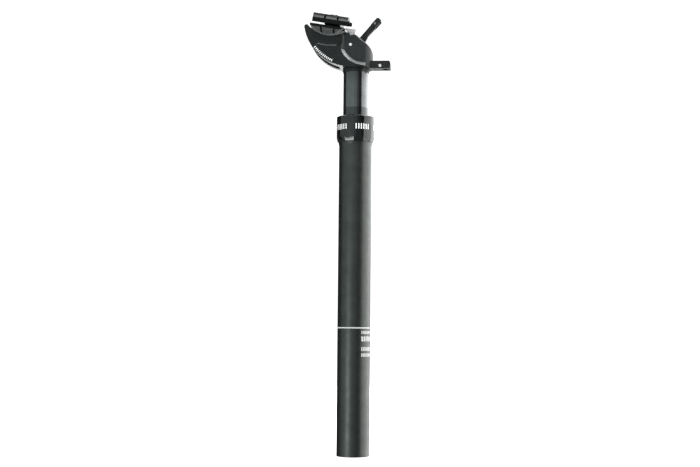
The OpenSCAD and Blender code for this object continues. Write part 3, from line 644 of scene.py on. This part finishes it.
head_finish, place = new_finish("head_paint", {"IOR": 1.5})
east = along(place, "X") - crescent_x
north = along(place, "Z") - crescent_z
reach = place.math("SQRT", east * east + north * north)
turn = place.math("ARCTAN2", north, east) * math.degrees(1)
ticks = ((turn - scale_start) % scale_pitch) < scale_share * scale_pitch
ticks = ticks * between(turn, scale_start, scale_end) * between(reach, scale_in, scale_out)
ticks = ticks * (abs(along(place, "Y")) > side_y - print_skin)
from_cradle = along(place, "X") - cradle_x
below_cradle = along(place, "Z") - cradle_z
ledge = between(
    place.math("SQRT", from_cradle * from_cradle + below_cradle * below_cradle), ledge_in, ledge_out
)
ledge = ledge * between(abs(along(place, "Y")), side_y - ledge_w, side_y - ledge_skin) * (below_cradle < 0)
shade = over(wander(place, 6, 0.0, 1.0), head_black, head_grey)
# Painted highlight: a pale line on the ledge's chamfer below the cradle, towards its back end.
shade = over(ledge * (along(place, "X") < ledge_end), shade, ledge_highlight_grey)
# Painted light: the side face of the lever's housing is a little lighter than the rest of the head.
shade = over(abs(abs(along(place, "Y")) - housing_y) < housing_skin, shade, housing_highlight_grey)
# Painted highlight: a pale band on the chamfered step beside the lever's housing.
from_step = along(place, "X") - step_x
below_step = along(place, "Z") - step_z
step_highlight = between(place.math("SQRT", from_step * from_step + below_step * below_step), band_in, band_out)
step_highlight = step_highlight * between(abs(along(place, "Y")), housing_y + housing_skin, side_y - housing_skin)
step_highlight = step_highlight * (below_step < band_top) * (from_step < band_front)
shade = over(step_highlight, shade, step_highlight_grey)
feed(head_finish, "Base Color", over(ticks, shade, print_white))
blasted = (along(place, "X") > round_front) * blast_roughness
feed(head_finish, "Roughness", wander(place, 2.5, 0.26, 0.34) + blasted)
feed(head_finish, "Normal", grain(place, 0.35, 0.003))

forged_head = welded_copy("head", "forged_head")
edges_at(forged_head, on_ledge)
bpy.ops.mesh.bevel(offset=ledge_h * mm, segments=1, affect="EDGES")
bpy.ops.object.mode_set(mode="OBJECT")
for side in (-1, 1):
    cut_away(forged_head, step_cutter(side))
    clean(forged_head, seam_weld)
in_triangles(forged_head)
edges_at(forged_head, on_step_foot)
bpy.ops.mesh.bevel(offset=step_fillet * mm, segments=1, affect="EDGES")
bpy.ops.object.mode_set(mode="OBJECT")
edges_at(forged_head, on_crown)
bpy.ops.mesh.bevel(offset=crown_chamfer * mm, segments=1, affect="EDGES")
bpy.ops.mesh.select_all(action="SELECT")
bpy.ops.mesh.remove_doubles(threshold=chamfer_weld * mm)
bpy.ops.object.mode_set(mode="OBJECT")
halve_flats(forged_head, housing_y, (0, 0, lever_z), (0, 0, 1))
halve_flats(forged_head, arm_y, (screw_x, 0, 0), (1, 0, 0))
whole_flats(forged_head, "SEAM", sort=True)
take_place(rounded(forged_head, 0.15), "head", head_finish)

# Pivot pin and stop screw
# Bright zinc-plated steel: the pin is pressed across the housing for the lever, and the slotted screw
# crosses the arm.
zinc_pale = (0.86, 0.87, 0.87, 1)
zinc_grey = (0.74, 0.75, 0.76, 1)
pin_edge = (0.05, 0.052, 0.053, 1)
pin_r = 1.6
pin_bright_r = 1.2

zinc, place = new_finish("zinc_plated", {})
east = along(place, "X") - lever_x
north = along(place, "Z") - lever_z
reach = place.math("SQRT", east * east + north * north)
shade = over(wander(place, 1.5, 0.0, 1.0), zinc_grey, zinc_pale)
# The pin's end is bright only in a small middle; its rim and its round side are dark.
feed(zinc, "Base Color", over(between(reach, pin_bright_r, pin_r), shade, pin_edge))
feed(zinc, "Metallic", wander(place, 2, 0.1, 0.3))
feed(zinc, "Roughness", wander(place, 0.8, 0.4, 0.55))
feed(zinc, "Normal", grain(place, 0.2, 0.002))
take_place(rounded(welded_copy("lever_pivot_pin", "bright_pin"), 0.25), "lever_pivot_pin", zinc)
take_place(rounded(welded_copy("cable_stop_screw", "slotted_screw"), 0.12), "cable_stop_screw", zinc)

# Valve pin
# Ground steel pin from the lever's nose down through the head to the valve.
coat("valve_pin", steel)

# Release lever
# Forged aluminium lever in satin black, with a crowned back and a forked tip. It turns on two brass bushes,
# and a steel barrel in the fork takes the cable.
lever_slope = math.radians(47.6)
lever_back = 0.5
lever_belly = 1.3
lever_root = 2.0
lever_moves = [
    ((5, 30), (-0.5, 0.5), lever_back),
    ((30, 40), (-1.5, 0.5), lever_back),
    ((12, 30), (-3.5, -2.6), -lever_belly),
    ((30, 40), (-3.5, -1.6), -lever_belly),
    ((7, 9), (-5.5, -4.5), -lever_root),
]


def thicken_lever(outs, overs, by):
    """Moves the lever's points within a stretch of its length and of its depth by some millimetres."""
    bpy.ops.object.mode_set(mode="EDIT")
    bpy.ops.mesh.select_mode(type="VERT")
    bpy.ops.mesh.select_all(action="DESELECT")
    bpy.ops.object.mode_set(mode="OBJECT")
    for vert in forked_lever.data.vertices:
        east = vert.co.x / mm - lever_x
        north = vert.co.z / mm - lever_z
        out = east * math.cos(lever_slope) + north * math.sin(lever_slope)
        over_axis = north * math.cos(lever_slope) - east * math.sin(lever_slope)
        vert.select = outs[0] < out < outs[1] and overs[0] < over_axis < overs[1]
    bpy.ops.object.mode_set(mode="EDIT")
    bpy.ops.transform.translate(value=Vector((-math.sin(lever_slope), 0, math.cos(lever_slope))) * by * mm)
    bpy.ops.object.mode_set(mode="OBJECT")


forked_lever = welded_copy("release_lever", "forked_lever")
in_triangles(forked_lever)
for outs, overs, by in lever_moves:
    thicken_lever(outs, overs, by)
whole_flats(forked_lever)
take_place(rounded(forked_lever, 0.25, 3), "release_lever", head_finish)
coat("lever_bushes", bronze)
take_place(rounded(welded_copy("cable_anchor", "cable_barrel"), 0.12), "cable_anchor", steel)

# Lower clamp
# Forged aluminium block in satin black, with painted highlights on its front, round sides and outer panels,
# that tilts in the head's cradle and carries the saddle's rails. Its bolt pulls on a curved washer, which has
# a little slack under the cradle.
clamp_lean = math.radians(9.5)
clamp_black = (0.0032, 0.0035, 0.0036, 1)
lower_panel_highlight = (0.045, 0.049, 0.048, 1)
side_highlight_pale = (0.09, 0.094, 0.093, 1)
lower_panel_top = -22.2
lower_panel_y = 13.5
lower_groove = (4.6, 6.2)
lower_middle = 1.3
edge_r = 25.1
lower_front = 15.4
front_highlight_white = (0.78, 0.78, 0.77, 1)
washer_slack = 0.12


def clamp_places(place):
    """Places ahead, across and up the leaning clamp from the cradle's centre, in millimetres."""
    east = along(place, "X") - cradle_x
    north = along(place, "Z") - cradle_z
    ahead = east * math.cos(clamp_lean) - north * math.sin(clamp_lean)
    up = east * math.sin(clamp_lean) + north * math.cos(clamp_lean)
    return ahead, abs(along(place, "Y")), up


def paint_grain(material, place):
    """Gloss and fine relief of the clamps' paint."""
    feed(material, "Roughness", wander(place, 2, 0.24, 0.32))
    feed(material, "Normal", grain(place, 0.3, 0.003))


lower_finish, place = new_finish("lower_clamp_paint", {"IOR": 1.3})
ahead, across, up = clamp_places(place)
# Painted highlights: the outer panels under the lip are lighter except in the grooves, the round sides paler,
# and the front end near white.
grooves = between(abs(ahead - lower_middle), *lower_groove)
highlit_panels = (up < lower_panel_top) * (across > lower_panel_y) * (1 - grooves)
round_side = place.math("SQRT", ahead * ahead + up * up) > edge_r
shade = over(highlit_panels, clamp_black, lower_panel_highlight)
shade = over(round_side * (across > lower_panel_y), shade, side_highlight_pale)
feed(lower_finish, "Base Color", over(round_side * (ahead > lower_front), shade, front_highlight_white))
paint_grain(lower_finish, place)
take_place(rounded(welded_copy("lower_clamp", "cradle_clamp"), 0.12), "lower_clamp", lower_finish)
clamp_down = Vector((-math.sin(clamp_lean), 0, -math.cos(clamp_lean)))
cradle_washer = rounded(welded_copy("curved_washer", "cradle_washer"), 0.1)
bpy.ops.object.mode_set(mode="EDIT")
bpy.ops.mesh.select_all(action="SELECT")
bpy.ops.transform.translate(value=clamp_down * washer_slack * mm)
bpy.ops.object.mode_set(mode="OBJECT")
take_place(cradle_washer, "curved_washer", dark_steel)
take_place(rounded(welded_copy("clamp_bolt", "long_bolt"), 0.3), "clamp_bolt", dark_steel)

# Upper clamp
# Forged aluminium plate in satin black with a bowed front edge, with painted highlights there, inside its
# ears and on its outer panels. It closes on the rails under a washer and a round steel nut on the bolt.
panel_highlight_grey = (0.09, 0.094, 0.095, 1)
panel_highlight_pale = (0.12, 0.125, 0.126, 1)
front_highlight_grey = (0.56, 0.56, 0.55, 1)
upper_panel_z = -14.7
upper_panel_y = 26.2
upper_lip_z = -13.6
upper_front = 17.4
ear_in_y = 16.5
ear_in_from = 10.5
ear_skin = 0.3

upper_finish, place = new_finish("upper_clamp_paint", {"IOR": 1.3})
ahead, across, up = clamp_places(place)
# Painted highlights: the outer panels above the lip are a bright metallic grey, the bowed front pale grey and
# the inner faces of the ears near white.
highlit_panels = (up > upper_panel_z) * (across > upper_panel_y)
bright = over(wander(place, 3, 0.0, 1.0), panel_highlight_grey, panel_highlight_pale)
front_highlight = (ahead > upper_front) * (up > upper_lip_z)
ear_highlight = (abs(across - ear_in_y) < ear_skin) * (ahead > ear_in_from)
shade = over(highlit_panels, clamp_black, bright)
shade = over(front_highlight, shade, front_highlight_grey)
feed(upper_finish, "Base Color", over(ear_highlight, shade, front_highlight_white))
feed(upper_finish, "Metallic", highlit_panels * (1 - front_highlight) * (1 - ear_highlight))
paint_grain(upper_finish, place)
take_place(rounded(welded_copy("upper_clamp", "rail_clamp"), 0.1), "upper_clamp", upper_finish)
take_place(rounded(welded_copy("nut_washer", "plain_washer"), 0.12), "nut_washer", alloy)
take_place(rounded(welded_copy("clamp_nut", "round_nut"), 0.25), "clamp_nut", steel)

# Studio
# A bright white floor and backdrop without shadows, in a dim room. Soft cool panels light the post from the
# front and the left, and bright ones from the right, from behind and from above.
floor_size = 8
floor_glow = 1.1
room_glow = 0.06
backdrop_glow = 1.2

bpy.context.scene.view_settings.view_transform = "Standard"
bpy.ops.mesh.primitive_plane_add(size=floor_size, location=(0, 0, -0.5 * mm))
floor = bpy.context.object
floor.name = "studio_floor"
floor_paint, place = new_finish("studio_white", {"Emission Strength": floor_glow})
feed(floor_paint, "Emission Color", over(wander(place, 900, 0.0, 1.0), (1, 1, 1, 1), (0.98, 0.98, 0.98, 1)))
floor.data.materials.append(floor_paint)
floor.visible_glossy = False
floor.visible_shadow = False


def lit_panel(name, place, facing, width, tall, glow, tint=(1, 1, 1)):
    """A soft panel of light at a place in metres, which the camera doesn't see."""
    bpy.ops.object.light_add(type="AREA")
    lamp = bpy.context.object
    lamp.name = name
    lamp.data.shape = "RECTANGLE"
    lamp.data.size = width
    lamp.data.size_y = tall
    lamp.data.energy = glow * math.pi * width * tall
    lamp.data.color = tint
    lamp.location = place
    lamp.rotation_euler = facing.to_track_quat("-Z", "Y").to_euler()
    lamp.visible_camera = False


def softbox(name, first, last, distance, low, high, glow, tint=(1, 1, 1)):
    """An upright panel that faces the post, between two turns from the front towards the lever's side."""
    turn = math.radians((first + last) / 2)
    width = 2 * distance * math.tan(math.radians(last - first) / 2)
    ahead = Vector((math.sin(turn), -math.cos(turn), 0))
    place = ahead * distance + Vector((0, 0, (low + high) / 2))
    lit_panel(name, place, -ahead, width, high - low, glow, tint)


cool = (0.86, 1.0, 0.97)
softbox("front_left_light", -97, -8, 1.3, -0.35, 1.3, 0.4, cool)
softbox("front_light", -8, 17, 1.3, -0.35, 1.3, 0.3, cool)
softbox("front_right_light", 17, 34, 1.3, -0.35, 1.3, 0.1, cool)
softbox("low_left_light", -68, -14, 1.1, -0.5, -0.02, 0.3, cool)
softbox("right_light", 60, 82, 1.1, -0.35, 1.8, 1.2)
softbox("right_side_light", 82, 108, 1.1, -0.35, 1.8, 1.7)
softbox("back_right_light", 108, 150, 1.1, -0.35, 1.8, 2.6)
softbox("back_light", 150, 178, 1.2, 0.28, 1.6, 2.2)
softbox("behind_light", 180, 195, 1.2, -0.4, 0.6, 2.4)
softbox("low_reflector", -43, -25, 0.8, -0.12, 0.07, 3.2)
down = Vector((0, 0, -1))
lit_panel("top_light", (0, 0.5, 1.8), down, 3.4, 1.6, 2.5)
lit_panel("right_top_light", (0.95, -0.05, 1.5), Vector((-0.95, 0.05, -1.17)), 0.8, 0.8, 4.5)
lit_panel("front_top_light", (-0.15, -0.95, 1.05), Vector((0.15, 0.95, -0.7)), 1.0, 0.3, 3.0)

world = bpy.data.worlds.new("studio")
bpy.context.scene.world = world
world.use_nodes = True
tree = world.node_tree
room = tree.nodes["Background"]
room.inputs["Color"].default_value = (0.92, 0.97, 1, 1)
room.inputs["Strength"].default_value = room_glow
backdrop = tree.nodes.new("ShaderNodeBackground")
backdrop.inputs["Color"].default_value = (1, 1, 1, 1)
backdrop.inputs["Strength"].default_value = backdrop_glow
rays = tree.nodes.new("ShaderNodeLightPath")
mix = tree.nodes.new("ShaderNodeMixShader")
tree.links.new(rays.outputs["Is Camera Ray"], mix.inputs[0])
tree.links.new(room.outputs[0], mix.inputs[1])
tree.links.new(backdrop.outputs[0], mix.inputs[2])
tree.links.new(mix.outputs[0], tree.nodes["World Output"].inputs["Surface"])
